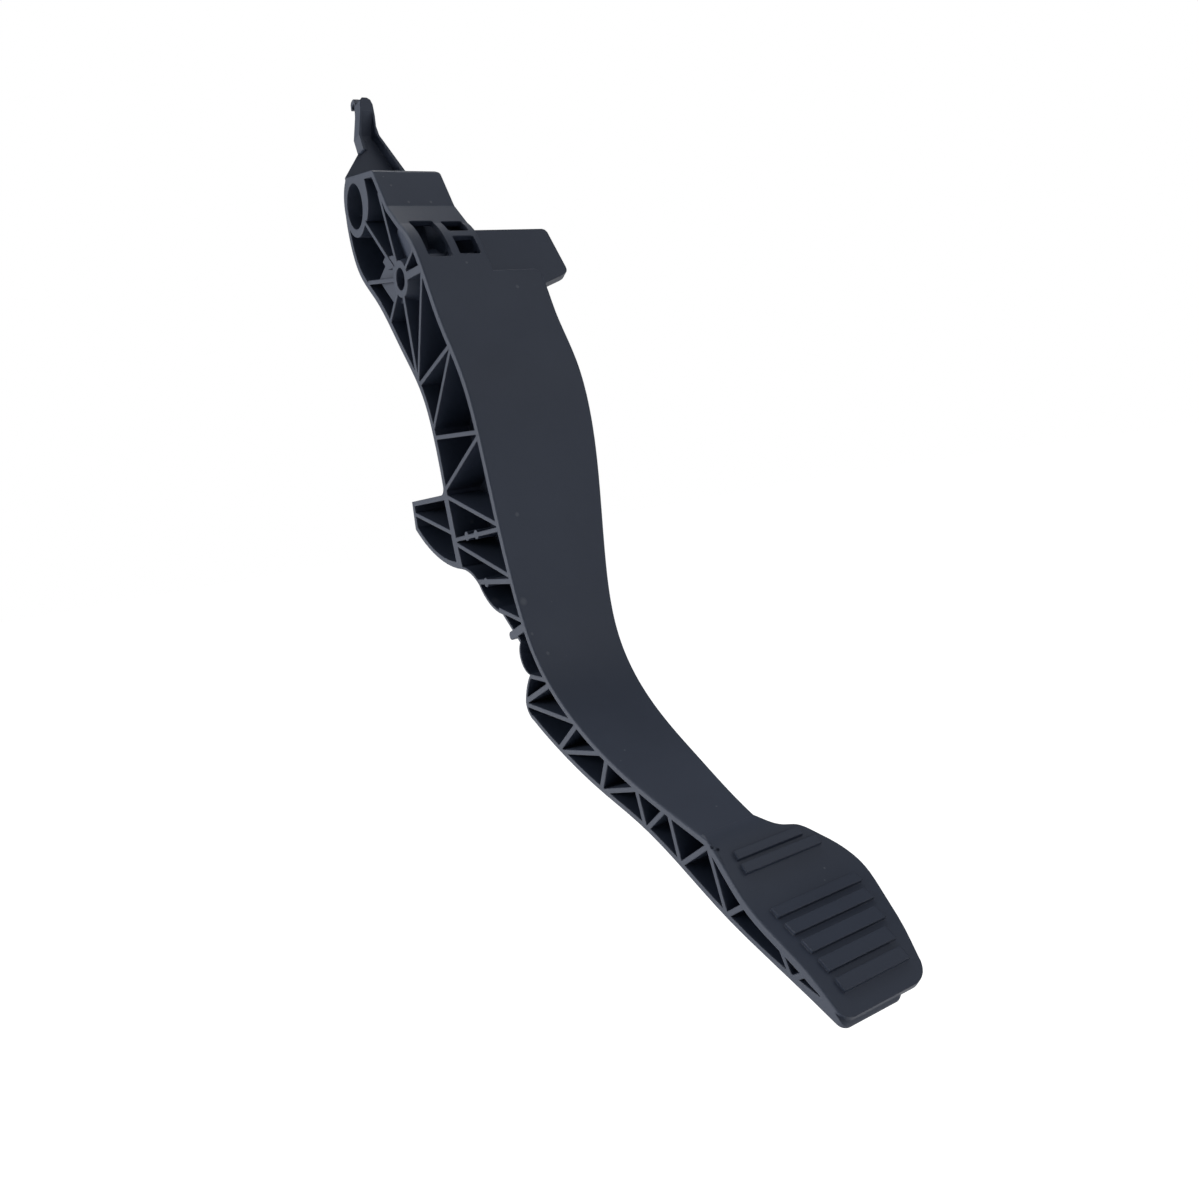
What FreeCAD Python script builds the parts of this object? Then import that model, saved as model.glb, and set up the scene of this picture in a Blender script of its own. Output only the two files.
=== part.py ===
"""Clutch pedal lever, moulded in one piece from glass-filled nylon.

Frame, in millimetres: the origin is the centre of the pivot bore, half-way along the hub. X runs
along the pivot axis to the driver's right, Y points away from the driver and Z is up. The left
side of the lever is flat and open; its ribs end in the plane x = -hub_width / 2.
"""
import FreeCAD, Part
import math
import os

V = FreeCAD.Vector
ALONG_X = FreeCAD.Rotation(V(0, 1, 0), 90)

# Driving sizes. A station is a point of the side view: y towards the back, z up from the pivot.
SIZES = [
    # pivot hub and pushrod pin
    ("pivot_bore_radius", 10.0, "bearing bush seat"),
    ("hub_radius", 13.6, "outside of the pivot hub"),
    ("hub_width", 32.0, "hub and upper lever, left to right"),
    ("pin_forward", 38.2, "pushrod pin ahead of the pivot"),
    ("pin_drop", 43.0, "pushrod pin below the pivot"),
    ("pin_bore_radius", 4.75, "pushrod pin bore"),
    ("pin_boss_radius", 7.8, "rim of the pin boss"),
    ("pin_boss_spread", 4.5, "how far the boss's cone flares down to the web"),
    ("saddle_depth", 2.8, "left side to the raised web behind the pin boss"),
    ("saddle_step", 2.4, "upper part of that web stands this much higher"),
    # walls
    ("front_wall", 2.8, "smooth wall facing the driver"),
    ("shin_wall", 2.1, "the same wall below the knee"),
    ("top_wall", 2.6, "wall over the hub pocket"),
    ("back_wall", 2.8, "rear flange of the upper lever"),
    ("lower_wall", 2.0, "rear flange of the lower lever"),
    ("scallop_wall", 1.2, "rear flange where it is scalloped"),
    ("rib_thickness", 1.8, "truss ribs"),
    ("web_thickness", 3.0, "upright web between the two open sides"),
    ("web_offset", 16.5, "left side to the web"),
    ("edge_radius", 0.8, "rounding of the front wall's long left edge"),
    ("right_radius", 1.1, "rounding of its right edge and of the ledge's upper edge"),
    ("brow_bevel", 0.9, "bevel along the top edge of the front wall"),
    ("brow_corner", 2.2, "upper right corner of the front wall"),
    ("ledge_corner", 3.2, "upper right corner of the wide part"),
    ("toe_corner", 2.6, "lower corners of the lever's end"),
    ("inner_radius", 3.0, "corner of the hub pocket"),
    ("slot_wall_y", -17.4, "wall between the hub's cover and the hub pocket"),
    ("cheek_inset", 1.6, "left side to the sloped wall beside the windows"),
    ("cheek_thickness", 1.8, ""),
    ("cheek_slope", 13.0, "degrees it falls away from the front wall"),
    # front stations, from the top edge to the ankle
    ("brow_y", -28.3, ""), ("brow_z", 6.8, "top edge of the front wall"),
    ("bend_y", -37.5, ""), ("bend_z", -11.5, "fold of the upper panel"),
    ("sill_y", -47.5, ""), ("sill_z", -22.0, "above the windows"),
    ("window_y", -58.0, ""), ("window_z", -33.5, "across the windows"),
    ("ledge_y", -63.8, ""), ("ledge_z", -46.5, "where the lever widens"),
    ("chest_y", -71.2, ""), ("chest_z", -67.0, ""),
    ("belly_y", -83.5, ""), ("belly_z", -92.0, ""),
    ("girth_y", -89.8, ""), ("girth_z", -120.0, ""),
    ("waist_y", -93.0, ""), ("waist_z", -150.0, ""),
    ("hip_y", -97.3, ""), ("hip_z", -180.0, ""),
    ("thigh_y", -107.0, ""), ("thigh_z", -209.0, ""),
    ("knee_y", -127.0, ""), ("knee_z", -230.0, ""),
    ("shin_y", -160.0, ""), ("shin_z", -248.3, ""),
    ("calf_y", -182.0, ""), ("calf_z", -256.2, ""),
    ("ankle_y", -204.5, ""), ("ankle_z", -263.2, "crease above the pad"),
    # pad face stations
    ("arch_y", -212.0, ""), ("arch_z", -271.0, ""),
    ("hollow_y", -221.0, ""), ("hollow_z", -280.6, ""),
    ("tread_y", -236.0, ""), ("tread_z", -289.4, ""),
    ("ball_y", -247.5, ""), ("ball_z", -296.0, ""),
    ("toe_y", -257.5, ""), ("toe_z", -304.0, "lower edge of the pad"),
    # width of the lever at the front stations
    ("width_ledge", 55.2, ""), ("width_chest", 55.6, ""), ("width_belly", 55.0, ""),
    ("width_girth", 53.6, ""), ("width_waist", 49.8, ""), ("width_hip", 44.4, ""),
    ("width_thigh", 39.6, ""), ("width_knee", 36.0, ""), ("width_shin", 31.6, ""),
    ("width_calf", 27.0, ""), ("width_ankle", 22.8, ""), ("width_toe", 24.0, ""),
    # rear stations, from the hub to the shelf
    ("crown_y", 4.6, ""), ("crown_z", 14.5, "top of the hub's cover"),
    ("nape_y", 14.1, ""), ("nape_z", -12.5, ""),
    ("back_high_y", 9.8, ""), ("back_high_z", -27.5, ""),
    ("back_pin_y", -5.3, ""), ("back_pin_z", -44.2, ""),
    ("back_chest_y", -25.0, ""), ("back_chest_z", -71.0, ""),
    ("back_belly_y", -40.3, ""), ("back_belly_z", -96.0, ""),
    ("back_girth_y", -43.7, ""), ("back_girth_z", -113.0, ""),
    # stop shelf
    ("shelf_root_y", -44.5, ""), ("shelf_top_z", -138.0, "upper face of the shelf"),
    ("shelf_reach", 39.8, "shelf from its root to its end"),
    ("shelf_end_height", 13.0, "height of the shelf's end face"),
    ("shelf_end_rake", 1.5, "end face leans out at its foot"),
    ("shelf_belly", 4.4, "bulge of the shelf's underside"),
    ("shelf_root_radius", 4.0, "fillet above the shelf"),
    ("shelf_wall", 2.2, "walls of the shelf"),
    ("heel_y", -49.5, ""), ("heel_z", -171.3, "lowest point under the shelf"),
    ("spine_thickness", 4.4, "wall between the lever and the shelf"),
    # scalloped rear edge below the shelf
    ("scallop_a_y", -64.3, ""), ("scallop_a_z", -178.4, ""),
    ("scallop_b_y", -82.5, ""), ("scallop_b_z", -191.0, ""),
    ("scallop_c_y", -94.3, ""), ("scallop_c_z", -202.4, ""),
    ("scallop_d_y", -98.2, ""), ("scallop_d_z", -215.6, ""),
    ("scallop_e_y", -90.0, ""), ("scallop_e_z", -227.6, ""),
    ("bulge_heel", -1.5, "outward bulge of each scallop"),
    ("bulge_a", 2.6, ""), ("bulge_c", 4.2, ""), ("bulge_d", 1.0, ""), ("bulge_e", 1.4, ""),
    # rear flange of the lower lever
    ("sole_start_y", -94.5, ""), ("sole_start_z", -234.8, ""),
    ("sole_knee_y", -114.0, ""), ("sole_knee_z", -245.6, ""),
    ("sole_shin_y", -141.0, ""), ("sole_shin_z", -257.0, ""),
    ("sole_calf_y", -166.0, ""), ("sole_calf_z", -265.6, ""),
    ("sole_ankle_y", -186.0, ""), ("sole_ankle_z", -275.2, ""),
    ("sole_arch_y", -208.0, ""), ("sole_arch_z", -287.2, ""),
    ("sole_tread_y", -232.0, ""), ("sole_tread_z", -297.4, ""),
    ("sole_end_y", -257.0, ""), ("sole_end_z", -307.8, ""),
    ("nub_thickness", 3.4, "rib end that stands out behind the scallops"),
    ("pocket_end", 8.0, "solid stretch between the last pocket and the toe"),
    # pad plate; q runs down the pad from the crease, x from the left side
    ("pad_thickness", 2.3, ""), ("pad_backing", 0.55, "lever's own wall under the pad plate"),
    ("pad_lip", 1.4, "pad plate stands proud of the lever's end"),
    ("pad_neck_x", 23.9, ""), ("pad_neck_q", 0.0, ""),
    ("pad_crook_x", 26.2, ""), ("pad_crook_q", 2.6, ""),
    ("pad_shoulder_x", 29.2, ""), ("pad_shoulder_q", 4.3, ""),
    ("pad_slope_x", 33.2, ""), ("pad_slope_q", 5.6, ""),
    ("pad_rise_x", 38.6, ""), ("pad_rise_q", 10.2, ""),
    ("pad_swell_x", 44.0, ""), ("pad_swell_q", 16.6, ""),
    ("pad_wide_x", 47.1, ""), ("pad_wide_q", 24.4, ""),
    ("pad_flank_x", 44.2, ""), ("pad_flank_q", 38.0, ""),
    ("pad_low_x", 39.5, ""), ("pad_low_q", 51.5, ""),
    ("pad_heel_x", 36.0, ""), ("pad_heel_q", 61.5, ""),
    ("pad_bend_x", 33.5, ""), ("pad_bend_q", 65.9, ""),
    ("pad_corner_x", 29.0, ""), ("pad_corner_q", 67.9, ""),
    ("gusset_thickness", 1.8, "plain ribs under the pad's overhang"),
    ("gusset_depth", 13.0, ""),
    ("dent_radius", 0.6, "dents in the pad's left edge"),
    # grip bars: q of the upper and lower side, then the right end
    ("bar_height", 1.45, ""), ("bar_left", 5.7, "left ends of all bars"),
    ("bar_a_top", 7.0, ""), ("bar_a_foot", 9.9, ""), ("bar_a_end", 33.0, ""),
    ("bar_b_top", 11.5, ""), ("bar_b_foot", 14.8, ""), ("bar_b_end", 37.5, ""),
    ("bar_c_top", 28.0, ""), ("bar_c_foot", 31.8, ""), ("bar_c_end", 40.8, ""),
    ("bar_d_top", 34.5, ""), ("bar_d_foot", 39.1, ""), ("bar_d_end", 38.8, ""),
    ("bar_e_top", 41.8, ""), ("bar_e_foot", 46.8, ""), ("bar_e_end", 35.9, ""),
    ("bar_f_top", 49.3, ""), ("bar_f_foot", 54.2, ""), ("bar_f_end", 32.9, ""),
    ("bar_g_top", 56.6, ""), ("bar_g_foot", 61.1, ""), ("bar_g_end", 32.0, ""),
    # windows in the front wall; s runs down from the sill
    ("window_big_left", 5.0, ""), ("window_big_right", 15.9, ""),
    ("window_big_top", -1.9, ""), ("window_big_foot", 22.3, ""),
    ("window_small_left", 19.6, ""), ("window_small_right", 29.4, ""),
    ("window_upper_top", -1.4, ""), ("window_upper_foot", 7.4, ""),
    ("window_lower_top", 10.9, ""), ("window_lower_foot", 21.4, ""),
    # ledge and switch tab on the right of the upper lever
    ("ledge_wall", 3.0, ""),
    ("tab_thickness", 4.0, ""), ("tab_setback", 3.2, "tab behind the sill of the front wall"),
    ("tab_lean", 26.5, "degrees from upright"),
    ("tab_top_z", -24.6, ""), ("tab_reach", 73.0, "right edge of the tab"),
    ("tab_height", 33.0, ""), ("tab_corner", 4.0, "rounded corner of the tab"),
    # spring hook over the hub
    ("hook_rear_y", 6.0, "rear face of the hook plate"), ("hook_plate", 1.7, ""),
    ("hook_flange", 1.1, ""), ("hook_front_y", -2.0, "front edges of the hook's flanges"),
    ("hook_root_z", 14.9, ""), ("hook_waist_z", 25.8, ""), ("hook_bulge_z", 32.0, ""),
    ("hook_bend_z", 33.0, ""), ("hook_fill_z", 44.5, "upper end of the channel"),
    ("hook_slope", 11.0, "the channel runs out over this height"),
    ("hook_neck_z", 43.0, ""), ("hook_tip_z", 48.9, ""),
    ("hook_waist_x", 8.4, ""), ("hook_bulge_x", 7.6, ""), ("hook_neck_x", 10.3, ""),
    ("hook_tip_x", 10.9, ""), ("hook_right_x", 16.9, ""),
    ("hook_base_x", 29.5, "width of the hook's foot"),
    ("tongue_reach", 4.8, "curl of the tip behind the hook plate"), ("tongue_rise", 2.3, ""),
    ("tongue_drop", 3.8, "end of the curl below its top"), ("tongue_thickness", 1.8, ""),
    ("crook_rib", 1.4, "short upright rib in the hook's channel"),
]

doc = FreeCAD.newDocument("clutch_pedal")
sheet = doc.addObject("Spreadsheet::Sheet", "sizes")
size = {}
for row, (alias, value, note) in enumerate(SIZES, start=1):
    sheet.set("A%d" % row, alias)
    sheet.set("B%d" % row, str(value))
    sheet.set("C%d" % row, note)
    sheet.setAlias("B%d" % row, alias)
doc.recompute()
for alias, value, note in SIZES:
    size[alias] = float(sheet.get(alias))

left_x = -size["hub_width"] / 2
web_right = left_x + size["web_offset"] + size["web_thickness"]
FAR = 70.0


def at(y, z):
    """A point of the side view, in the plane of the left side."""
    return V(left_x, y, z)


def station(name):
    return at(size[name + "_y"], size[name + "_z"])


def inset(points, walls, side):
    """Points moved into the lever by the wall there; side is 1 on a front run, -1 on a rear run."""
    moved = []
    for i, point in enumerate(points):
        run = points[min(i + 1, len(points) - 1)] - points[max(i - 1, 0)]
        inward = V(0, -run.z, run.y).normalize() * side
        moved.append(point + inward * walls[i])
    return moved


def line(a, b):
    return Part.LineSegment(a, b).toShape()


def spline(points):
    curve = Part.BSplineCurve()
    curve.interpolate(points)
    return curve.toShape()


def bulged(a, b, bulge):
    """An arc from a to b that stands out by the bulge, or a line where there is none."""
    if abs(bulge) < 0.05:
        return line(a, b)
    run = V(b - a).normalize()
    return Part.Arc(a, (a + b) * 0.5 + V(0, -run.z, run.y) * bulge, b).toShape()


def prism(edges, start, length):
    """A side view outline made solid, from a distance off the left side."""
    face = Part.Face(Part.Wire(Part.__sortEdges__(edges)))
    solid = face.extrude(V(length, 0, 0))
    solid.translate(V(start, 0, 0))
    return solid


# Front run, outside and inside of the wall that faces the driver.
SHAFT = ["sill", "window", "ledge", "chest", "belly", "girth", "waist", "hip", "thigh",
         "knee", "shin", "calf", "ankle"]
PAD = ["ankle", "arch", "hollow", "tread", "ball", "toe"]
shaft_outer = [station(name) for name in SHAFT]
pad_outer = [station(name) for name in PAD]
wall_shift = (size["shin_wall"] - size["front_wall"]) / 3
shaft_walls = [size["front_wall"] + wall_shift * min(max(i - 6, 0), 3) for i in range(len(SHAFT))]
shaft_inner = inset(shaft_outer, shaft_walls, 1)
pad_inner = inset(pad_outer, [size["pad_thickness"] + size["pad_backing"]] * len(PAD), 1)
pad_inner[0] = shaft_inner[-1]
panel_outer = [station("brow"), station("bend"), station("sill")]
panel_inner = inset(panel_outer, [size["front_wall"]] * 3, 1)
panel_inner[-1] = shaft_inner[0]

# Rear run from the hub to the shelf, then the spine, the scallops and the lower flange.
REAR = ["nape", "back_high", "back_pin", "back_chest", "back_belly", "back_girth"]
SOLE = ["sole_start", "sole_knee", "sole_shin", "sole_calf", "sole_ankle", "sole_arch",
        "sole_tread", "sole_end"]
SCALLOPS = ["a", "b", "c", "d", "e"]
root_radius = size["shelf_root_radius"]
shelf_root = at(size["shelf_root_y"], size["shelf_top_z"])
rear_outer = [at(size["hub_radius"], 0)] + [station(name) for name in REAR]
rear_outer.append(shelf_root + V(0, 0, root_radius))
rear_inner = inset(rear_outer, [size["back_wall"]] * len(rear_outer), -1)
shelf_end_top = shelf_root + V(0, size["shelf_reach"], 0)
shelf_end_low = shelf_end_top + V(0, size["shelf_end_rake"], -size["shelf_end_height"])
heel = station("heel")
scallops_outer = [heel] + [station("scallop_" + name) for name in SCALLOPS] + [station("sole_start")]
bulges = [size["bulge_heel"], size["bulge_a"], 0, size["bulge_c"], size["bulge_d"], size["bulge_e"]]
sole_outer = [station(name) for name in SOLE]
sole_inner = inset(sole_outer, [size["lower_wall"]] * len(SOLE), -1)
scallops_inner = inset(scallops_outer, [size["scallop_wall"]] * len(scallops_outer), -1)
scallops_inner[-1] = sole_inner[0]


def scallop_edges(points):
    return [bulged(a, b, bulge) for a, b, bulge in zip(points, points[1:], bulges)]


# Outline of the whole lever seen from its left.
toe = pad_outer[-1]
sole_tip = sole_outer[-1]
pad_down = V(toe - pad_outer[0]).normalize()
pad_in = V(0, -pad_down.z, pad_down.y)
lip = size["pad_lip"]
under_pad = [pad_outer[0], pad_outer[1] + pad_in * lip * 0.5]
under_pad += [point + pad_in * lip for point in pad_outer[2:-1]]
under_pad.append(toe + pad_in * lip - pad_down * 0.9)
crown = station("crown")
root_foot = shelf_root + V(0, root_radius, 0)
root_middle = shelf_root + V(0, root_radius, root_radius) - V(0, 0.7071, 0.7071) * root_radius
hub_shoulder = V(0, 0.82, 0.573) * (size["hub_radius"] + 0.6) + V(left_x, 0, 0)
outline = [
    line(panel_outer[0], panel_outer[1]), line(panel_outer[1], panel_outer[2]),
    spline(shaft_outer), spline(under_pad),
    bulged(under_pad[-1], sole_tip, -0.5),
    spline(sole_outer),
    bulged(shelf_end_low, heel, size["shelf_belly"]),
    line(shelf_end_top, shelf_end_low), line(root_foot, shelf_end_top),
    Part.Arc(rear_outer[-1], root_middle, root_foot).toShape(),
    spline(rear_outer),
    Part.Arc(crown, hub_shoulder, rear_outer[0]).toShape(),
    line(crown, panel_outer[0]),
] + scallop_edges(scallops_outer)

# Blank: the upper lever is as wide as the hub, below the ledge the width follows the stations.
WIDTHS = ["ledge", "chest", "belly", "girth", "waist", "hip", "thigh", "knee", "shin", "calf",
          "ankle", "toe"]
middle = [station(name) for name in WIDTHS]
middle.append(toe + V(toe - pad_outer[0]).normalize() * 12)
widths = [size["width_" + name] for name in WIDTHS] + [size["width_toe"]]
sections = []
for i, point in enumerate(middle):
    run = middle[min(i + 1, len(middle) - 1)] - middle[max(i - 1, 0)]
    if i == 0:
        run = middle[1] - shaft_outer[SHAFT.index("window")]
    inward = V(0, -run.z, run.y).normalize()
    depth = 100 if i < 6 else 60
    near = point - inward * 12 - V(1, 0, 0)
    deep = point + inward * depth - V(1, 0, 0)
    across = V(widths[i] + 1, 0, 0)
    sections.append(Part.makePolygon([near, near + across, deep + across, deep, near]))
ribbon = Part.makeLoft(sections, True, False)
upper = Part.makeBox(size["hub_width"] + 1, 400, 200, V(left_x - 1, -300, size["chest_z"] - 8))
blank = prism(outline, 0, FAR).common(upper.fuse(ribbon))


def corner_profile(corner, across, down, radius):
    """What is left of a square once its quarter circle is gone, for rounding a corner of the blank."""
    inner = corner + (across + down) * radius
    middle = inner - (across + down).normalize() * radius
    out = corner - (across + down) * 2
    edges = [Part.Arc(corner + across * radius, middle, corner + down * radius).toShape(),
             line(corner + down * radius, corner + down * radius - across * 2),
             line(corner + down * radius - across * 2, out),
             line(out, corner + across * radius - down * 2),
             line(corner + across * radius - down * 2, corner + across * radius)]
    return Part.Face(Part.Wire(edges))


def corner_cutter(corner, across, down, radius, along):
    return corner_profile(corner, across, down, radius).extrude(along)


# Corners that are round when the lever is seen from the driver's side.
RIGHT = V(1, 0, 0)
top_run = V(crown - panel_outer[0]).normalize()
panel_down = V(panel_outer[1] - panel_outer[0]).normalize()
ledge_point = station("ledge")
ledge_run = middle[1] - shaft_outer[SHAFT.index("window")]
ledge_inward = V(0, -ledge_run.z, ledge_run.y).normalize()
ledge_down = V(ledge_run).normalize()
sole_up = V(sole_outer[-2] - sole_tip).normalize()
corner_cuts = [
    corner_cutter(panel_outer[0] - top_run * 3 + RIGHT * size["hub_width"], RIGHT * -1, panel_down,
                  size["brow_corner"], top_run * ((crown - panel_outer[0]).Length - 2)),
    corner_cutter(ledge_point - ledge_inward * 3 + RIGHT * size["width_ledge"], RIGHT * -1, ledge_down,
                  size["ledge_corner"], ledge_inward * 80),
    corner_cutter(sole_tip + pad_in * 6, RIGHT, sole_up, size["toe_corner"], pad_in * -12),
    corner_cutter(sole_tip + pad_in * 6 + RIGHT * size["width_toe"], RIGHT * -1, sole_up,
                  size["toe_corner"], pad_in * -12),
]

# The long right edge of the front wall, rounded while it is still one edge.
front_line = Part.Compound([spline(shaft_outer)])


def on_front(point):
    """Whether a point lies on the front run once it is slid onto the left side."""
    return front_line.distToShape(Part.Vertex(left_x, point.y, point.z))[0] < 0.05


def long_right_edge(shape):
    found = []
    for edge in shape.Edges:
        ends = [vertex.Point for vertex in edge.Vertexes]
        ends.append(edge.valueAt((edge.FirstParameter + edge.LastParameter) / 2))
        if edge.Length > 100 and min(point.x for point in ends) > left_x + 1:
            if all(on_front(point) for point in ends):
                found.append(edge)
    return found


rounded = blank.makeFillet(size["right_radius"], long_right_edge(blank))
if not rounded.isValid() or not 0 < blank.Volume - rounded.Volume < 900:
    raise RuntimeError("the right edge of the front wall could not be rounded")

# The upper edge of the ledge, round along its length and on round its corner, and the top edge's bevel.
rim = size["right_radius"]
ledge_turn = size["width_ledge"] - size["ledge_corner"]
rim_start = ledge_point + RIGHT * size["hub_width"]
rim_end = ledge_point + RIGHT * ledge_turn
rim_cut = corner_cutter(rim_start, ledge_inward, ledge_down, rim, rim_end - rim_start)
rim_bend = corner_profile(rim_end, ledge_inward, ledge_down, rim)
rim_bend = rim_bend.revolve(rim_end + ledge_down * size["ledge_corner"], ledge_inward, 90)
bevel = size["brow_bevel"]
brow = panel_outer[0] - RIGHT
bevel_corners = [brow + panel_down * bevel, brow + top_run * bevel,
                 brow - (top_run + panel_down) * bevel * 3]
brow_cut = Part.Face(Part.makePolygon(bevel_corners + bevel_corners[:1]))
brow_cut = brow_cut.extrude(RIGHT * (size["hub_width"] + 2))
rounded = rounded.cut(corner_cuts + [rim_cut, rim_bend, brow_cut])

# Ground the pockets are cut from, open on the left and on the right of the web.
top_drop = V(0, top_run.z, -top_run.y) * size["top_wall"]
front_run = V(panel_inner[1] - panel_inner[0]).normalize()
top_point = panel_outer[0] + top_drop
turn = (panel_inner[0] - top_point).cross(front_run).x / top_run.cross(front_run).x
corner = top_point + top_run * turn
tangent = size["inner_radius"] / math.tan(top_run.getAngle(front_run) / 2)
bisector = (top_run + front_run).normalize()
corner_top = corner + top_run * tangent
corner_front = corner + front_run * tangent
swing = size["inner_radius"] / math.sin(top_run.getAngle(front_run) / 2) - size["inner_radius"]
ceiling = top_point + top_run * (V(0, 0, 0) + (at(0, 0) - top_point)).dot(top_run)
spine_front = size["shelf_root_y"] + size["spine_thickness"] / 2 - 5.2
spine_top = at(spine_front, size["shelf_top_z"])
spine_low = at(spine_front - 1.2, size["heel_z"] + 11.3)
last_front = pad_inner[-2]
last_rear = sole_tip + V(pad_outer[-2] - toe).normalize() * size["pocket_end"]
last_rear = last_rear + V(sole_inner[-1] - sole_outer[-1])
main_edges = [
    Part.Arc(corner_top, corner + bisector * swing, corner_front).toShape(),
    line(corner_front, panel_inner[1]), line(panel_inner[1], panel_inner[2]),
    spline(shaft_inner), spline(pad_inner[:-1]),
    line(last_front, last_rear),
    spline(sole_inner[:-1] + [last_rear]),
    line(scallops_inner[0], spine_low), line(spine_low, spine_top), line(spine_top, rear_inner[-1]),
    spline(rear_inner),
    line(rear_inner[0], at(0, 0)), line(at(0, 0), ceiling), line(ceiling, corner_top),
] + scallop_edges(scallops_inner)
spine_rear = spine_front + size["spine_thickness"]
wall = size["shelf_wall"]
shelf_a = at(spine_rear, size["shelf_top_z"] - wall)
shelf_b = shelf_end_top - V(0, wall, wall)
shelf_c = shelf_end_low + V(0, -wall - 0.6, wall * 0.4)
shelf_d = heel + V(0, size["spine_thickness"] + 0.6, wall + 1.2)
shelf_edges = [line(shelf_a, shelf_b), line(shelf_b, shelf_c),
               bulged(shelf_c, shelf_d, size["shelf_belly"] - 0.6), line(shelf_d, shelf_a)]

hollows = []
for edges in (main_edges, shelf_edges):
    hollows.append(prism(edges, -1, size["web_offset"] + 1))
    hollows.append(prism(edges, size["web_offset"] + size["web_thickness"], FAR))


def snapped(points, y, z):
    """The nearest point of a run, so that a rib ends on its wall wherever the wall stands."""
    target = at(y, z)
    best = None
    for a, b in zip(points, points[1:]):
        run = b - a
        share = max(0.0, min(1.0, (target - a).dot(run) / run.dot(run)))
        point = a + run * share
        if best is None or (point - target).Length < (best - target).Length:
            best = point
    return best


def bound(kind, name, **links):
    """A primitive of the document whose sizes follow the sheet."""
    item = doc.addObject("Part::" + kind, name)
    for prop, expression in links.items():
        item.setExpression(prop, expression)
    return item


def rib(name, start, end, thickness, reach=3.0):
    """An upright rib between two points of the side view, carried into the walls at both ends."""
    run = V(end - start).normalize()
    side = V(0, -run.z, run.y)
    box = bound("Box", name, Width="sizes.rib_thickness * %s" % thickness)
    box.Length = (end - start).Length + 2 * reach
    box.Height = FAR + 4
    half = side * (size["rib_thickness"] * thickness / 2)
    turned = FreeCAD.Rotation(run, side, V(1, 0, 0), "XZY")
    box.Placement = FreeCAD.Placement(start - run * reach - half - V(2, 0, 0), turned)
    return box


def round_bar(name, kind, centre, x, **links):
    item = bound(kind, name, **links)
    item.Placement = FreeCAD.Placement(V(x, centre.y, centre.z), ALONG_X)
    return item


# Hub, pin boss and the three round thickenings of ribs below the shelf.
pin = at(-size["pin_forward"], -size["pin_drop"])
right_x = -left_x
hub = round_bar("hub", "Cylinder", at(0, 0), left_x,
                Radius="sizes.hub_radius", Height="sizes.hub_width")
boss = round_bar("boss", "Cylinder", pin, left_x,
                 Radius="sizes.pin_boss_radius", Height="sizes.hub_width")
cone_left = round_bar("cone_left", "Cone", pin, left_x, Height="sizes.web_offset",
                      Radius1="sizes.pin_boss_radius",
                      Radius2="sizes.pin_boss_radius + sizes.pin_boss_spread")
cone_right = round_bar("cone_right", "Cone", pin, web_right,
                       Height="sizes.hub_width - sizes.web_offset - sizes.web_thickness",
                       Radius1="sizes.pin_boss_radius + sizes.pin_boss_spread",
                       Radius2="sizes.pin_boss_radius")
keepers = [hub, boss, cone_left, cone_right]
KNUCKLES = [("knuckle_a", -70.1, -157.0), ("knuckle_b", -60.3, -157.2), ("knuckle_c", -71.8, -177.5)]
for name, middle_y, middle_z in KNUCKLES:
    knuckle = round_bar(name, "Cylinder", at(middle_y, middle_z), left_x,
                        Radius="sizes.rib_thickness * 1.1")
    knuckle.Height = FAR
    keepers.append(knuckle)
slot_y = size["slot_wall_y"]
slot_side = [at(slot_y + 0.6, size["hub_radius"]), at(slot_y - 0.2, 4.0), at(slot_y - 0.2, -1.5),
             at(slot_y + 1.8, -6.0), at(slot_y + 6.0, -10.2)]
slot_block = prism([spline(slot_side), line(slot_side[-1], at(0, 0)), line(at(0, 0), slot_side[0])],
                   -1, size["hub_width"] + 2)

# Raised web behind the pin boss, its upper part a step higher.
saddle_points = [pin, pin + V(0, 3.9, 10.8), pin + V(0, 14.8, 13.6), pin + V(0, 31.0, 7.6),
                 pin + V(0, 27.4, 3.0), pin + V(0, 17.0, -7.6), pin + V(0, 2.0, -9.0)]
saddle_high = [pin + V(0, 1.0, 6.0), pin + V(0, 2.4, 10.9), pin + V(0, 13.4, 13.3), pin + V(0, 17.4, 12.0),
               pin + V(0, 13.4, 7.5)]
for points, rise in ((saddle_points, 0.0), (saddle_high, size["saddle_step"])):
    base = Part.Face(Part.makePolygon(points + points[:1]))
    block = base.extrude(V(size["web_offset"] - size["saddle_depth"] + rise + 1, 0, 0))
    block.translate(V(size["saddle_depth"] - rise, 0, 0))
    slot_block = slot_block.fuse(block)

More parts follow.
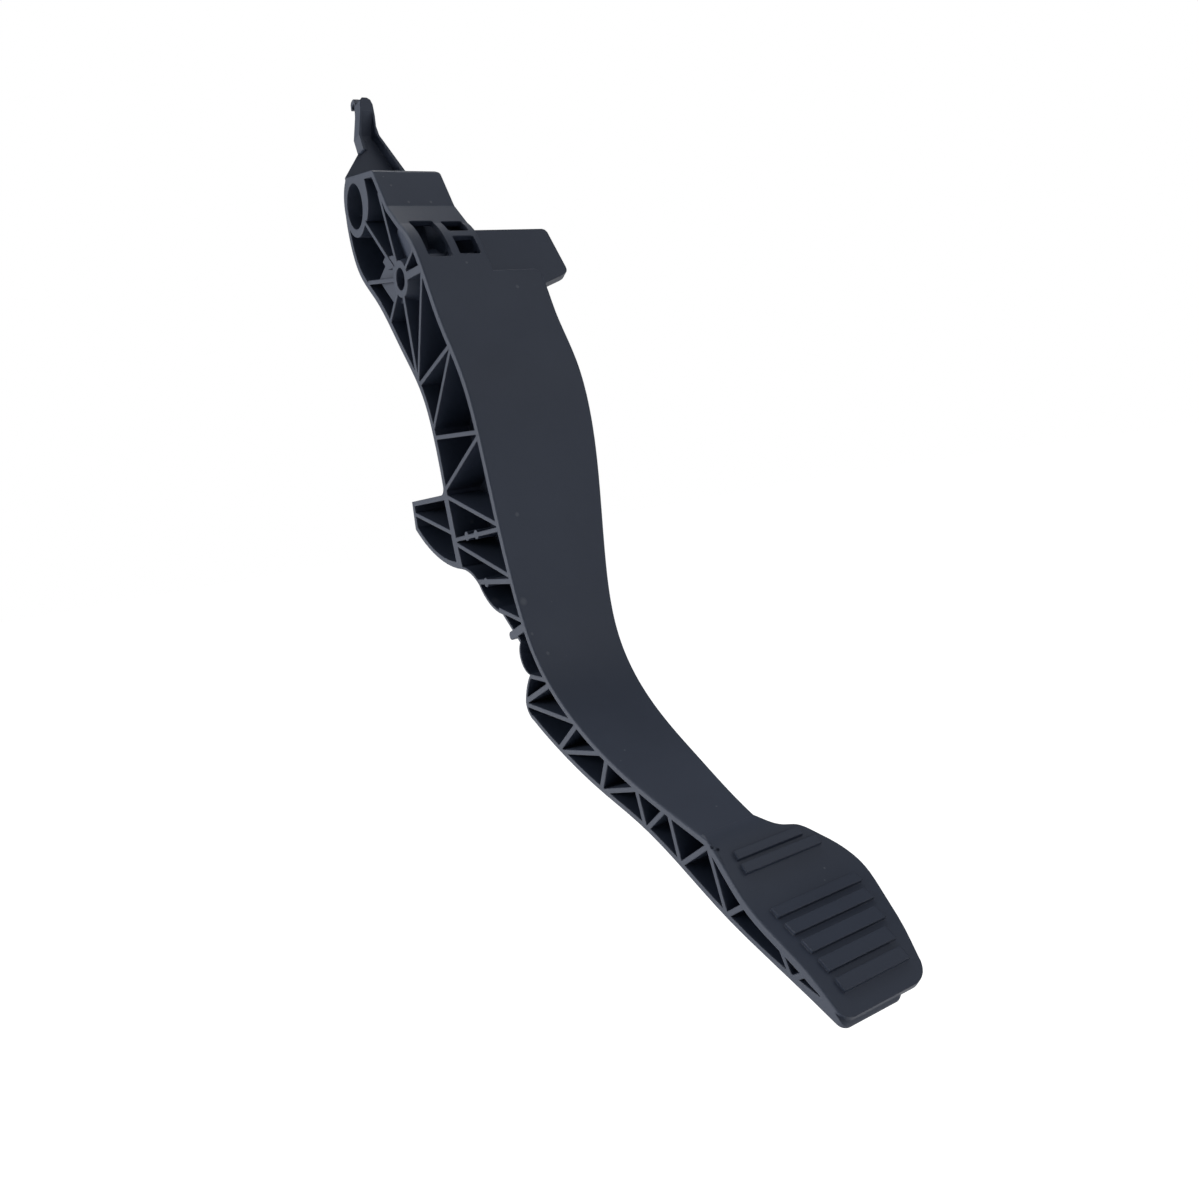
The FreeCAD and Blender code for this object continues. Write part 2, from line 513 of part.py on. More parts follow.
# Truss ribs: the spokes of the pin boss, then the ribs from rear wall to front wall, top to bottom.
rear_run = rear_inner + [spine_top, spine_low] + scallops_inner + sole_inner[1:]
front_inner = panel_inner[:-1] + shaft_inner + pad_inner[1:]
spokes = [
    ("spoke_hub", at(0, 0), 1.0),
    ("spoke_brow", snapped(front_inner, -29.8, -5.0), 1.1),
    ("spoke_rear_high", snapped(rear_inner, 0.2, -35.7), 1.0),
    ("spoke_rear_low", snapped(rear_inner, -17.1, -57.5), 1.0),
    ("spoke_chest", snapped(rear_inner, -37.0, -86.0), 1.3),
    ("spoke_front", snapped(front_inner, -60.7, -44.0), 1.8),
    ("spoke_window", snapped(front_inner, -57.0, -35.3), 0.8),
]
for name, end, thickness in spokes:
    keepers.append(rib(name, pin, end, thickness, 1.0))
TRUSS = [
    ("rib_chest", -38.5, -86.5, -60.3, -47.5, 1.0),
    ("rib_belly", -39.5, -88.5, -75.0, -79.7, 1.0),
    ("rib_rise", -47.0, -108.5, -76.0, -81.5, 1.0),
    ("rib_girth", -46.5, -113.2, -85.5, -116.5, 1.0),
    ("rib_shelf", -47.0, -135.5, -86.0, -119.0, 1.0),
    ("rib_waist", -46.5, -139.5, -89.5, -154.0, 1.0),
    ("rib_spine", -48.0, -158.2, -90.5, -156.2, 1.0),
    ("rib_fall", -48.0, -160.5, -93.0, -175.0, 1.0),
    ("rib_hip", -64.0, -178.2, -93.0, -177.5, 1.2),
    ("rib_notch", -82.0, -190.8, -96.0, -194.5, 1.0),
    ("rib_nub", -91.0, -198.0, -98.0, -196.0, 1.0),
    ("rib_thigh", -98.5, -215.8, -110.0, -218.2, 1.0),
    ("rib_bow", -91.0, -225.8, -112.0, -220.0, 1.2),
    ("rib_knee", -90.5, -229.7, -126.0, -231.8, 1.0),
    ("rib_shin_a", -114.0, -243.8, -129.0, -234.0, 1.2),
    ("rib_shin_b", -117.5, -245.5, -144.0, -243.2, 1.0),
    ("rib_shin_c", -141.5, -256.2, -148.0, -245.0, 1.3),
    ("rib_shin_d", -145.0, -256.5, -166.0, -250.5, 1.0),
    ("rib_calf_a", -168.0, -264.5, -166.5, -252.0, 1.2),
    ("rib_calf_b", -170.5, -264.5, -181.0, -257.8, 1.0),
    ("rib_ankle_a", -187.0, -273.0, -185.0, -258.2, 1.1),
    ("rib_ankle_b", -188.5, -274.0, -205.0, -264.5, 1.0),
    ("rib_arch_a", -209.5, -284.0, -207.0, -264.5, 1.0),
    ("rib_arch_b", -211.0, -284.5, -219.0, -280.8, 1.0),
    ("rib_tread_a", -237.0, -296.5, -236.0, -289.5, 0.9),
    ("rib_tread_b", -239.0, -297.5, -243.0, -295.0, 1.0),
]
for name, rear_y, rear_z, front_y, front_z, thickness in TRUSS:
    rear_end = snapped(rear_run, rear_y, rear_z)
    front_end = snapped(front_inner, front_y, front_z)
    keepers.append(rib(name, rear_end, front_end, thickness))
brace = rib("shelf_brace", shelf_b - V(0, 0, 4), snapped([spine_top, spine_low], -44.0, -156.2), 1.0, 1.0)

# Ledge: the wall that closes the wide part from above, on the right of the web.
ledge = bound("Box", "ledge", Width="sizes.ledge_wall")
ledge.Length = 75
ledge.Height = FAR
ledge_base = V(web_right - 1, ledge_point.y, ledge_point.z) + ledge_down * size["ledge_wall"]
ledge.Placement = FreeCAD.Placement(ledge_base,
                                    FreeCAD.Rotation(ledge_inward, ledge_down * -1, V(1, 0, 0), "XZY"))
doc.recompute()

# Walls on both sides of the windows: the left one slopes inwards, the right one is plain.
cheek_edge = [snapped(front_inner, -44.5, -20.5) + V(0, -1.0, 0.6), pin + V(0, 4.4, 20.0),
              pin + V(0, 1.8, 8.2), pin + V(0, -6.0, 3.4),
              snapped(front_inner, -57.5, -35.9) + V(0, -1.5, 0)]
cheek_face = Part.Face(Part.makePolygon(cheek_edge + cheek_edge[:1]))
cheek_left = cheek_face.extrude(V(size["cheek_thickness"], 0, 0))
cheek_left.translate(V(size["cheek_inset"], 0, 0))
cheek_left.rotate(cheek_edge[0] + V(size["cheek_inset"], 0, 0), V(cheek_edge[-1] - cheek_edge[0]),
                  size["cheek_slope"])
side_edge = [snapped(front_inner, -33.0, -9.0) + V(0, -1.5, 0), pin + V(0, 2.0, 0),
             pin + V(0, -1.0, -4.0), ledge_point + ledge_inward * 14, ledge_point + ledge_inward,
             snapped(front_inner, -50, -27) - V(0, 1, 0)]
side_face = Part.Face(Part.makePolygon(side_edge + side_edge[:1]))
cheek_right = side_face.extrude(V(size["cheek_thickness"], 0, 0))
cheek_right.translate(V(size["hub_width"] - size["cheek_thickness"], 0, 0))

# Pockets are the hollows less everything that stands in them.
solid_bits = [item.Shape for item in keepers] + [slot_block]
pockets = [hollows[0].cut(solid_bits + [cheek_left]),
           hollows[1].cut(solid_bits + [ledge.Shape, cheek_right]),
           hollows[2].cut(brace.Shape), hollows[3].cut(brace.Shape)]
lever = rounded.cut(pockets)


def plate(points, y, thickness):
    """A flat outline in x and z, x counted from the left side, made solid from y towards the rear."""
    corners = [V(left_x + x, y, z) for x, z in points]
    return Part.Face(Part.makePolygon(corners + corners[:1])).extrude(V(0, thickness, 0))


# Spring hook: a channel that opens towards the driver and runs out below the tip, which curls back.
waist_x = size["hook_waist_x"]
neck_x = size["hook_neck_x"]
hook_right = size["hook_right_x"]
base_x = size["hook_base_x"]
tip_z = size["hook_tip_z"]
flange = size["hook_flange"]
foot_z = size["hook_root_z"] - 4.0
plate_y = size["hook_rear_y"] - size["hook_plate"]
depth = size["hook_rear_y"] - size["hook_front_y"]
hook_left = [(waist_x, size["hook_waist_z"]), (size["hook_bulge_x"], size["hook_bulge_z"]),
             (neck_x, size["hook_neck_z"]), (size["hook_tip_x"], tip_z - 1.2),
             (size["hook_tip_x"] + 1.2, tip_z)]
hook_edge = [(hook_right - 2.4, tip_z), (hook_right - 0.9, tip_z - 0.9), (hook_right - 0.1, tip_z - 3.0),
             (hook_right, tip_z - 8.0), (hook_right - 0.3, size["hook_bend_z"] + 3),
             (hook_right + 0.5, size["hook_bend_z"] - 1.0), (base_x - 2.0, foot_z + 4.6),
             (base_x, foot_z + 1)]
back_plate = plate([(0, foot_z), (0, size["hook_root_z"])] + hook_left + hook_edge,
                   plate_y, size["hook_plate"])
arm = plate(hook_left + hook_edge + [(base_x - flange * 1.5, foot_z + 1)], size["hook_front_y"], depth)
channel = plate([(waist_x + flange, size["hook_waist_z"] - 6), (waist_x + flange, size["hook_waist_z"]),
                 (size["hook_bulge_x"] + flange, size["hook_bulge_z"]),
                 (neck_x + flange, size["hook_fill_z"]),
                 (hook_right - flange, size["hook_fill_z"]), (hook_right - flange, size["hook_bend_z"]),
                 (base_x - flange * 1.6, foot_z), (0, foot_z)],
                size["hook_front_y"] - 1, plate_y - size["hook_front_y"] + 1)
run_out = [at(size["hook_front_y"] - 1, foot_z), at(plate_y, foot_z),
           at(plate_y, size["hook_fill_z"] - size["hook_slope"]),
           at(size["hook_front_y"] - 1, size["hook_fill_z"])]
channel = channel.common(prism([line(a, b) for a, b in zip(run_out, run_out[1:] + run_out[:1])], 0, FAR))
rear_y = size["hook_rear_y"]
curl = size["tongue_reach"]
curl_top = tip_z + size["tongue_rise"]
curl_wall = size["tongue_thickness"]
curl_foot = curl_top - size["tongue_drop"]
tongue_side = [(rear_y - 1.5, tip_z - 2.0), (rear_y - 1.5, tip_z), (rear_y - 0.4, curl_top - 0.2),
               (rear_y + 1.2, curl_top), (rear_y + curl * 0.68, curl_top - 0.3),
               (rear_y + curl * 0.92, curl_top - 1.2), (rear_y + curl, curl_foot + 0.4),
               (rear_y + curl - 0.4, curl_foot), (rear_y + curl - curl_wall, curl_foot + 0.2),
               (rear_y + curl * 0.68, curl_top - curl_wall - 0.7),
               (rear_y + 1.2, curl_top - curl_wall - 0.1), (rear_y - 0.2, curl_top - curl_wall - 0.6),
               (rear_y - 0.2, tip_z - 2.0)]
tongue_points = [V(left_x + size["hook_tip_x"], y, z) for y, z in tongue_side]
tongue = Part.Face(Part.makePolygon(tongue_points + tongue_points[:1]))
tongue = tongue.extrude(V(hook_right - size["hook_tip_x"] - 1.8, 0, 0))
crook = size["crook_rib"]
crook_x = waist_x + 2.4
crook_rib = plate([(crook_x, 27.0), (crook_x + crook, 27.0), (crook_x + crook, 31.0), (crook_x, 31.0)],
                  plate_y - crook, crook + 0.5)
hook = back_plate.fuse([arm.cut(channel), tongue, crook_rib])

# Switch tab: a flat ear that stands behind the front wall, on the right of the upper lever.
lean = math.radians(size["tab_lean"])
tab_down = V(0, -math.sin(lean), -math.cos(lean))
tab_in = V(0, -tab_down.z, tab_down.y)
tab_start = station("sill") + tab_in * size["tab_setback"]
tab_start = tab_start + tab_down * ((size["tab_top_z"] - tab_start.z) / tab_down.z)
reach = size["tab_reach"]
fall = size["tab_height"]
wide = size["width_ledge"]
tab_outline = [(size["hub_width"] - 2, 0), (reach - 2.6, -0.3), (reach - 1.2, 0.3), (reach - 0.5, 1.7),
               (reach + 0.8, fall * 0.675), (reach + 0.65, fall * 0.715), (reach + 0.1, fall * 0.75),
               (reach - 1.0, fall * 0.78), (reach - 3.0, fall * 0.81), (wide + 5, fall * 0.925),
               (wide, fall * 0.985), (wide - 8, fall * 0.985), (size["hub_width"] - 2, fall * 0.86)]
tab_points = [tab_start + V(x, 0, 0) + tab_down * t for x, t in tab_outline]
tab = Part.Face(Part.makePolygon(tab_points + tab_points[:1])).extrude(tab_in * size["tab_thickness"])
tab_root = Part.makePolygon([tab_start + V(size["hub_width"] - 2, 0, 0) + tab_down * 1 - tab_in * 3,
                             tab_start + V(size["hub_width"], 0, 0) + tab_down * 1 - tab_in * 3,
                             tab_start + V(size["hub_width"], 0, 0) + tab_down * 1,
                             tab_start + V(size["hub_width"] - 2, 0, 0) + tab_down * 1,
                             tab_start + V(size["hub_width"] - 2, 0, 0) + tab_down * 1 - tab_in * 3])
tab_root = Part.Face(tab_root).extrude(tab_down * (fall * 0.8))

# Pad plate, cut from a bent sheet that follows the pad face.
def on_pad(x, q, height=0.0):
    return pad_outer[0] + V(x, 0, 0) + pad_down * q - pad_in * height


def sheet_between(low, high):
    """A sheet as wide as the pad between two offsets of its face; positive is towards the driver."""
    faces = []
    for offset in (low, high):
        run = [point - pad_in * offset for point in pad_outer]
        run.insert(0, run[0] + V(shaft_outer[-2] - shaft_outer[-1]).normalize() * 6)
        run.append(run[-1] + pad_down * 4)
        faces.append(run)
    edges = [spline(faces[0]), line(faces[0][-1], faces[1][-1]), spline(faces[1]),
             line(faces[1][0], faces[0][0])]
    return prism(edges, 0, FAR)


PAD_EDGE = ["neck", "crook", "shoulder", "slope", "rise", "swell", "wide", "flank", "low", "heel"]
pad_edge = [on_pad(size["width_ankle"] - 0.5, -3.4, 20)]
pad_edge += [on_pad(size["pad_%s_x" % name], size["pad_%s_q" % name], 20) for name in PAD_EDGE]
pad_corner = on_pad(size["pad_corner_x"], size["pad_corner_q"], 20)
pad_left_top = on_pad(0, -3.4, 20)
pad_left_foot = on_pad(4.5, size["pad_corner_q"], 20)
pad_left_low = on_pad(0, size["pad_corner_q"] - 5.5, 20)
left_bend = Part.Arc(pad_left_foot, on_pad(1.1, size["pad_corner_q"] - 1.6, 20), pad_left_low).toShape()
corner_bend = Part.Arc(pad_edge[-1], on_pad(size["pad_bend_x"], size["pad_bend_q"], 20),
                       pad_corner).toShape()
cookie_edges = [spline(pad_edge), corner_bend, line(pad_corner, pad_left_foot), left_bend,
                line(pad_left_low, pad_left_top), line(pad_left_top, pad_edge[0])]
cookie = Part.Face(Part.Wire(cookie_edges)).extrude(pad_in * 45)
pad = sheet_between(-size["pad_thickness"], 0).common(cookie)

# Grip bars on the pad.
bars = []
bar_sheet = sheet_between(-1.5, size["bar_height"])
for name in "abcdefg":
    top = size["bar_%s_top" % name]
    foot = size["bar_%s_foot" % name]
    length = size["bar_%s_end" % name] - size["bar_left"]
    start = on_pad(size["bar_left"], top, 20)
    block = Part.makeBox(length, foot - top, 40)
    block.Placement = FreeCAD.Placement(start, FreeCAD.Rotation(V(1, 0, 0), pad_down, pad_in, "XYZ"))
    bars.append(block.common(bar_sheet))

# Plain gussets under the pad where it stands out past the lever.
gussets = []
below_face = sheet_between(-22.0, -1.5)
for q, reach_x in ((15.0, 0.80), (31.0, 0.85), (46.0, 0.80)):
    edge_x = size["pad_wide_x"] - abs(q - size["pad_wide_q"]) * 0.28
    inner_x = size["width_ankle"] - 3
    corners = [on_pad(inner_x, q, -1.5), on_pad(edge_x * 0.92, q, -1.5), on_pad(edge_x * 0.92, q, -4.0),
               on_pad(inner_x, q, -size["gusset_depth"])]
    face = Part.Face(Part.makePolygon(corners + corners[:1]))
    gussets.append(face.extrude(pad_down * size["gusset_thickness"]).common(below_face))

# The short thick end of a rib that stands out behind the scallops.
nub_tip = at(-87.2, -199.9)
nub_root = snapped(front_inner, -98.0, -196.6)
nub_run = V(nub_root - nub_tip).normalize()
nub_side = V(0, -nub_run.z, nub_run.y)
nub_half = nub_side * (size["nub_thickness"] / 2)
nub_end = nub_tip - nub_run * (size["nub_thickness"] / 2)
nub_round = Part.Arc(nub_tip + nub_half, nub_end, nub_tip - nub_half)
nub = prism([nub_round.toShape(), line(nub_tip - nub_half, nub_root - nub_half),
             line(nub_root - nub_half, nub_root + nub_half), line(nub_root + nub_half, nub_tip + nub_half)],
            0, size["web_offset"] + 1)

# Two small dents in the pad's left edge.
dents = []
for x, q in ((0.5, 2.6), (1.5, 4.1)):
    dents.append(Part.makeSphere(size["dent_radius"], on_pad(x, q, 0.1) + pad_in * 0.4))

body = lever.fuse([hook, tab, tab_root, pad, nub] + bars + gussets)

# The left edge of the front wall and the pad is rounded by three narrow bevels.
edge_run = panel_outer + shaft_outer[1:] + pad_outer[1:]
edge_run[0] = edge_run[0] + V(edge_run[0] - edge_run[1]).normalize() * 3
edge_run.append(edge_run[-1] + pad_down * 5)
SILL = 2
ANKLE = SILL + len(shaft_outer) - 1


def edge_wire(cut_in, x):
    """A loop in front of the front run, its inner side cut_in deep, at x from the left side."""
    near = inset(edge_run, [cut_in] * len(edge_run), 1)
    far = inset(edge_run, [-6.0] * len(edge_run), 1)
    loop = [line(near[0], near[1]), line(near[1], near[2]), spline(near[SILL:ANKLE + 1]),
            spline(near[ANKLE:]), line(near[-1], far[-1]), spline(far[ANKLE:]),
            spline(far[SILL:ANKLE + 1]), line(far[2], far[1]), line(far[1], far[0]),
            line(far[0], near[0])]
    wire = Part.Wire(loop)
    wire.translate(V(x, 0, 0))
    return wire


radius = size["edge_radius"]
bevels = [(1.0, -0.01), (0.5, 0.134 * radius), (0.134, 0.5 * radius), (-0.01, radius)]
edge_wires = [edge_wire(share * radius, x) for share, x in bevels]
for outer_wire, inner_wire in zip(edge_wires, edge_wires[1:]):
    body = body.cut(Part.makeLoft([outer_wire, inner_wire], True, True))

# Windows through the front wall, then the two bores.
sill = station("sill")
sill_down = V(station("ledge") - sill).normalize()
sill_in = V(0, -sill_down.z, sill_down.y)
window_turn = FreeCAD.Rotation(V(1, 0, 0), sill_down, sill_in, "XYZ")
cuts = []
for side, name in (("big", "big"), ("small", "upper"), ("small", "lower")):
    left = size["window_%s_left" % side]
    top = size["window_%s_top" % name]
    block = Part.makeBox(size["window_%s_right" % side] - left, size["window_%s_foot" % name] - top,
                         size["front_wall"] + 5.0)
    upright = [edge for edge in block.Edges if abs(edge.tangentAt(edge.FirstParameter).z) > 0.9]
    block = block.makeFillet(1.0, upright)
    block.Placement = FreeCAD.Placement(sill + V(left, 0, 0) + sill_down * top - sill_in * 4, window_turn)
    cuts.append(block)
pivot_bore = round_bar("pivot_bore", "Cylinder", at(0, 0), left_x - 1,
                       Radius="sizes.pivot_bore_radius", Height="sizes.hub_width + 2")
pin_bore = round_bar("pin_bore", "Cylinder", pin, left_x - 1,
                     Radius="sizes.pin_bore_radius", Height="sizes.hub_width + 2")
doc.recompute()
finished = body.cut(cuts + dents + [pivot_bore.Shape, pin_bore.Shape])

node = doc.addObject("Part::Feature", "pedal_lever")
node.Label = "pedal_lever"
node.Shape = finished.Solids[0] if len(finished.Solids) == 1 else finished
doc.recompute()
for item in doc.Objects:
    state = list(item.State)
    if "Invalid" in state or "Error" in state:
        raise RuntimeError("%s did not build: %s" % (item.Label, state))
if node.Shape.isNull() or not node.Shape.isValid() or len(finished.Solids) != 1:
    raise RuntimeError("pedal_lever is not one sound solid")

os.makedirs("parts", exist_ok=True)
node.Shape.exportStep("parts/%s.step" % node.Label)
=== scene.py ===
"""Looks for the clutch pedal lever: one moulding of dark slate-grey glass-filled nylon."""

import bpy
from mathutils import Matrix, Vector

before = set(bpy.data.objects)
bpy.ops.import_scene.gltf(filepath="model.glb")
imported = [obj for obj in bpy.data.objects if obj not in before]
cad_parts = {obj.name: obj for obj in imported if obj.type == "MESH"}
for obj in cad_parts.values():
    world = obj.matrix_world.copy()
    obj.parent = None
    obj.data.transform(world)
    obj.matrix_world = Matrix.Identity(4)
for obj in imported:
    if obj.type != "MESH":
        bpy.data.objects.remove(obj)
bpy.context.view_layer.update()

MM = 0.001
scene = bpy.context.scene
scene.view_settings.view_transform = "Standard"


def linear(hex_colour):
    """An sRGB hex value as a linear colour with alpha."""
    channels = [int(hex_colour[i:i + 2], 16) / 255 for i in (1, 3, 5)]
    return tuple(c / 12.92 if c <= 0.04045 else ((c + 0.055) / 1.055) ** 2.4 for c in channels) + (1.0,)


def add_node(tree, kind, settings=None, values=None, links=None):
    """Adds a shader node, and sets or links its inputs, each by its name or its number."""
    node = tree.nodes.new("ShaderNode" + kind)
    for name, value in (settings or {}).items():
        setattr(node, name, value)
    for name, value in (values or {}).items():
        node.inputs[name].default_value = value
    for name, source in (links or {}).items():
        tree.links.new(source, node.inputs[name])
    return node


def combined(tree, operation, first, second):
    """One value from two, by a sum, a product or the larger of both."""
    node = add_node(tree, "Math", settings={"operation": operation}, links={0: first, 1: second})
    return node.outputs["Value"]


def per_metre(millimetres):
    """Pattern scale that repeats about once in that many millimetres."""
    return 1.0 / (millimetres * MM)


# Glass-filled nylon, injection moulded: dark slate and satin, a little cloudy in tone. A faint mould
# grain breaks up the highlights, and no edge is knife sharp.
NYLON_SLATE = "#2F384A"
NYLON_PALE = "#374052"
NYLON_ROUGHNESS = 0.55
NYLON_IOR = 1.53
CLOUD_MM = 45.0
CLOUD_DETAIL = 3.0
CLOUD_ALL_SLATE = 0.35
CLOUD_ALL_PALE = 0.75
GRAIN_MM = 0.9
GRAIN_DETAIL = 2.0
GRAIN_STRENGTH = 0.25
GRAIN_DEPTH_MM = 0.05
EDGE_MM = 0.7
EDGE_SAMPLES = 6

# Pale marks on the nylon: specks of dust all over, as on a part that has lain on a shelf, and small
# scuffs on the front wall. The core and rim are shares of a mark's radius, between which it fades.
DUST = "#7C828C"
DUST_APART_MM = 11.0
DUST_SPECK_MM = 0.45
DUST_CORE = 0.6
DUST_STRENGTH = 0.35
SCUFF_CORE = 0.5
SCUFF_RIM = 1.3
SCUFF_STRENGTH = 0.28
# Each scuff: to the right of the middle, height and radius, all in millimetres.
SCUFFS = [(-10, -1, 0.5), (-5, -9.5, 0.6), (5.5, -9.5, 0.6), (5, -43, 0.6), (25, -55, 0.8),
          (-7, -151.5, 0.9), (-13.5, -186, 1.5), (-14, -199, 0.6), (-10.5, -207.5, 0.7)]
# A face takes scuffs where its normal points to the driver, and fades out from there.
NORMAL_Y_SCUFFED = -0.6
NORMAL_Y_CLEAN = -0.4


def scuffed(tree, place, normal):
    """How strongly a point is scuffed, on faces that look to the driver."""
    parts = add_node(tree, "SeparateXYZ", links={"Vector": place})
    flat = add_node(tree, "CombineXYZ", links={"X": parts.outputs["X"], "Z": parts.outputs["Z"]})
    total = None
    for right, up, radius in SCUFFS:
        away = add_node(tree, "VectorMath", settings={"operation": "DISTANCE"},
                        values={1: (right * MM, 0.0, up * MM)}, links={0: flat.outputs["Vector"]})
        spot = add_node(tree, "MapRange", links={"Value": away.outputs["Value"]},
                        values={"From Min": SCUFF_CORE * radius * MM, "To Min": SCUFF_STRENGTH,
                                "From Max": SCUFF_RIM * radius * MM, "To Max": 0.0})
        if total is None:
            total = spot.outputs["Result"]
        else:
            total = combined(tree, "ADD", total, spot.outputs["Result"])
    facing = add_node(tree, "SeparateXYZ", links={"Vector": normal})
    front_only = add_node(tree, "MapRange", links={"Value": facing.outputs["Y"]},
                          values={"From Min": NORMAL_Y_SCUFFED, "From Max": NORMAL_Y_CLEAN,
                                  "To Min": 1.0, "To Max": 0.0})
    return combined(tree, "MULTIPLY", total, front_only.outputs["Result"])


def dusty(tree, place):
    """How strongly a point is dusty: small round specks, far apart and at random."""
    cells = add_node(tree, "TexVoronoi", values={"Scale": per_metre(DUST_APART_MM)},
                     links={"Vector": place})
    speck = add_node(tree, "MapRange", links={"Value": cells.outputs["Distance"]},
                     values={"From Min": DUST_CORE * DUST_SPECK_MM / DUST_APART_MM,
                             "From Max": DUST_SPECK_MM / DUST_APART_MM,
                             "To Min": DUST_STRENGTH, "To Max": 0.0})
    return speck.outputs["Result"]


def glass_filled_nylon():
    """The pedal's nylon: clouded slate under dust and scuffs, grained, with softened edges."""
    material = bpy.data.materials.new("glass_filled_nylon")
    material.use_nodes = True
    tree = material.node_tree
    coordinates = add_node(tree, "TexCoord")
    place = coordinates.outputs["Object"]
    cloud = add_node(tree, "TexNoise", values={"Scale": per_metre(CLOUD_MM), "Detail": CLOUD_DETAIL},
                     links={"Vector": place})
    tone = add_node(tree, "ValToRGB", links={"Fac": cloud.outputs["Fac"]})
    slate_end, pale_end = tone.color_ramp.elements
    slate_end.position = CLOUD_ALL_SLATE
    slate_end.color = linear(NYLON_SLATE)
    pale_end.position = CLOUD_ALL_PALE
    pale_end.color = linear(NYLON_PALE)
    marked = combined(tree, "MAXIMUM", dusty(tree, place),
                      scuffed(tree, place, coordinates.outputs["Normal"]))
    # Sockets of a colour mix: 0 is the share, 6 and 7 are the colours, and output 2 is the result.
    colour = add_node(tree, "Mix", settings={"data_type": "RGBA"}, values={7: linear(DUST)},
                      links={0: marked, 6: tone.outputs["Color"]})
    grain = add_node(tree, "TexNoise", values={"Scale": per_metre(GRAIN_MM), "Detail": GRAIN_DETAIL},
                     links={"Vector": place})
    soft_edge = add_node(tree, "Bevel", settings={"samples": EDGE_SAMPLES},
                         values={"Radius": EDGE_MM * MM})
    bump = add_node(tree, "Bump",
                    values={"Strength": GRAIN_STRENGTH, "Distance": GRAIN_DEPTH_MM * MM},
                    links={"Height": grain.outputs["Fac"], "Normal": soft_edge.outputs["Normal"]})
    surface = tree.nodes["Principled BSDF"]
    tree.links.new(colour.outputs[2], surface.inputs["Base Color"])
    tree.links.new(bump.outputs["Normal"], surface.inputs["Normal"])
    surface.inputs["Roughness"].default_value = NYLON_ROUGHNESS
    surface.inputs["IOR"].default_value = NYLON_IOR
    return material


nylon = glass_filled_nylon()
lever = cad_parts["pedal_lever"]
for slot in lever.material_slots:
    slot.material = nylon

# Floor and surroundings show white to the camera, and light the object only softly.
FLOOR_Z = -430 * MM
FLOOR_REACH = 12.0
FLOOR_CORNERS = [(-1, -1), (1, -1), (1, 1), (-1, 1)]
FLOOR_PAINT = "#A8A8A8"
FLOOR_ROUGHNESS = 0.9
FLOOR_GLOW = 0.95


def matt_white_sweep():
    """Matt studio paint: the glow lifts it to white for the camera, and the object still shades it."""
    material = bpy.data.materials.new("matt_white_sweep")
    material.use_nodes = True
    tree = material.node_tree
    paint = tree.nodes["Principled BSDF"]
    paint.inputs["Base Color"].default_value = linear(FLOOR_PAINT)
    paint.inputs["Roughness"].default_value = FLOOR_ROUGHNESS
    rays = add_node(tree, "LightPath")
    watched = combined(tree, "MAXIMUM", rays.outputs["Is Camera Ray"], rays.outputs["Is Glossy Ray"])
    glow = add_node(tree, "Emission", values={"Strength": FLOOR_GLOW})
    dark = add_node(tree, "Emission", values={"Strength": 0.0})
    lift = add_node(tree, "MixShader", links={0: watched, 1: dark.outputs["Emission"],
                                              2: glow.outputs["Emission"]})
    total = add_node(tree, "AddShader", links={0: paint.outputs["BSDF"], 1: lift.outputs["Shader"]})
    tree.links.new(total.outputs["Shader"], tree.nodes["Material Output"].inputs["Surface"])
    return material


floor_mesh = bpy.data.meshes.new("floor")
floor_mesh.from_pydata([(x * FLOOR_REACH, y * FLOOR_REACH, FLOOR_Z) for x, y in FLOOR_CORNERS], [],
                       [(0, 1, 2, 3)])
floor = bpy.data.objects.new("floor", floor_mesh)
scene.collection.objects.link(floor)
floor_mesh.materials.append(matt_white_sweep())

# Studio air: a faint cool light that grows from below to above, and plain white to the camera.
AIR_TINT = (0.93, 0.96, 1.0, 1.0)
AIR_BELOW = 0.10
AIR_ABOVE = 0.22
AIR_LOW_END = -0.6
AIR_HIGH_END = 0.8
WHITE = (1.0, 1.0, 1.0, 1.0)

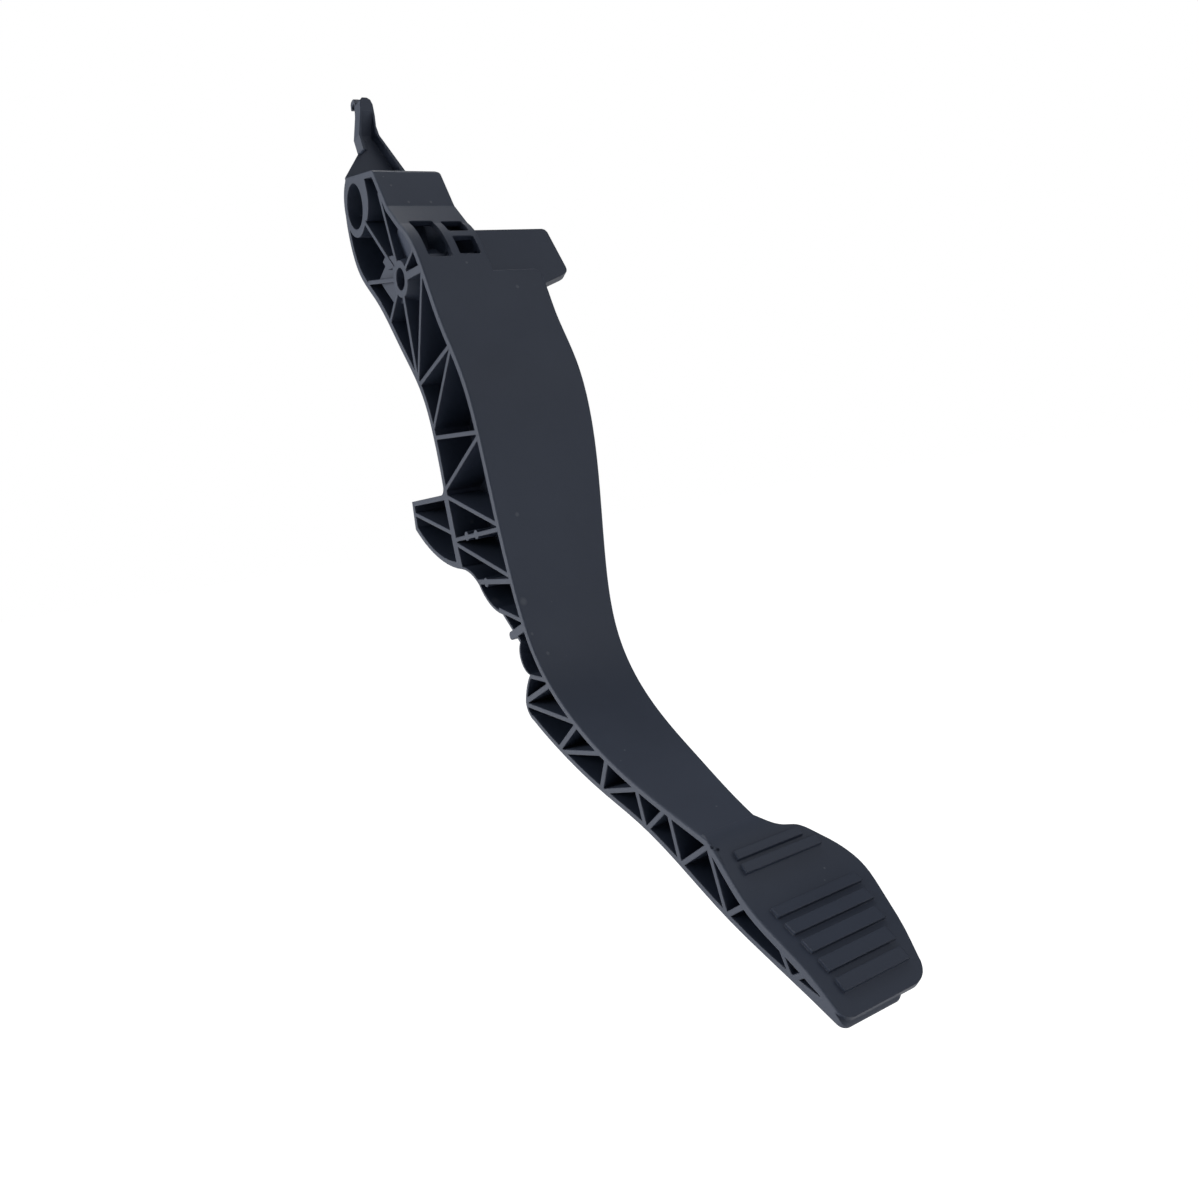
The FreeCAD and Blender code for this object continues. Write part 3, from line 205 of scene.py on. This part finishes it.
world = bpy.data.worlds.new("studio")
scene.world = world
world.use_nodes = True
air = world.node_tree
background = air.nodes["Background"]
background.inputs["Color"].default_value = AIR_TINT
direction = add_node(air, "TexCoord").outputs["Generated"]
height = add_node(air, "SeparateXYZ", links={"Vector": direction}).outputs["Z"]
strength = add_node(air, "MapRange", links={"Value": height},
                    values={"From Min": AIR_LOW_END, "From Max": AIR_HIGH_END,
                            "To Min": AIR_BELOW, "To Max": AIR_ABOVE})
air.links.new(strength.outputs["Result"], background.inputs["Strength"])
air_rays = add_node(air, "LightPath")
plain_white = add_node(air, "Background", values={"Color": WHITE, "Strength": 1.0})
shown = add_node(air, "MixShader",
                 links={0: air_rays.outputs["Is Camera Ray"], 1: background.outputs["Background"],
                        2: plain_white.outputs["Background"]})
air.links.new(shown.outputs["Shader"], air.nodes["World Output"].inputs["Surface"])


def soft_lamp(name, place, aim, size, watts):
    """A square soft box that points at a place on the pedal; places and size are in metres."""
    data = bpy.data.lights.new(name, "AREA")
    data.shape = "SQUARE"
    data.size = size
    data.energy = watts
    lamp = bpy.data.objects.new(name, data)
    scene.collection.objects.link(lamp)
    lamp.location = place
    lamp.rotation_euler = (Vector(aim) - Vector(place)).to_track_quat("-Z", "Y").to_euler()


PEDAL_MIDDLE = (0.0, -0.10, -0.14)
HUB_MIDDLE = (0.0, -0.04, -0.02)
soft_lamp("left_rear_softbox", (-1.45, 0.62, 0.20), PEDAL_MIDDLE, 1.2, 20)
soft_lamp("front_top_softbox", (0.5, -1.35, 0.80), PEDAL_MIDDLE, 1.8, 6.5)
soft_lamp("overhead_panel", (0.05, 0.12, 0.42), HUB_MIDDLE, 0.2, 0.55)

# Camera at the photograph's place: axes are its right, up and backward directions.
CAMERA_PLACE = Vector((-198.47, -475.33, -149.88)) * MM
CAMERA_RIGHT = Vector((0.84431577, -0.510688, -0.16226102))
CAMERA_UP = Vector((0.18872694, 0.0, 0.9820296))
CAMERA_BACK = Vector((-0.50151074, -0.85976611, 0.09638058))
SENSOR_MM = 36.0
LENS_MM = 31.56
NEAREST_SEEN = 10 * MM
camera_data = bpy.data.cameras.new("camera")
camera_data.sensor_width = SENSOR_MM
camera_data.lens = LENS_MM
camera_data.clip_start = NEAREST_SEEN
camera = bpy.data.objects.new("camera", camera_data)
scene.collection.objects.link(camera)
turn = Matrix((CAMERA_RIGHT, CAMERA_UP, CAMERA_BACK)).transposed()
camera.matrix_world = Matrix.Translation(CAMERA_PLACE) @ turn.to_4x4()
scene.camera = camera
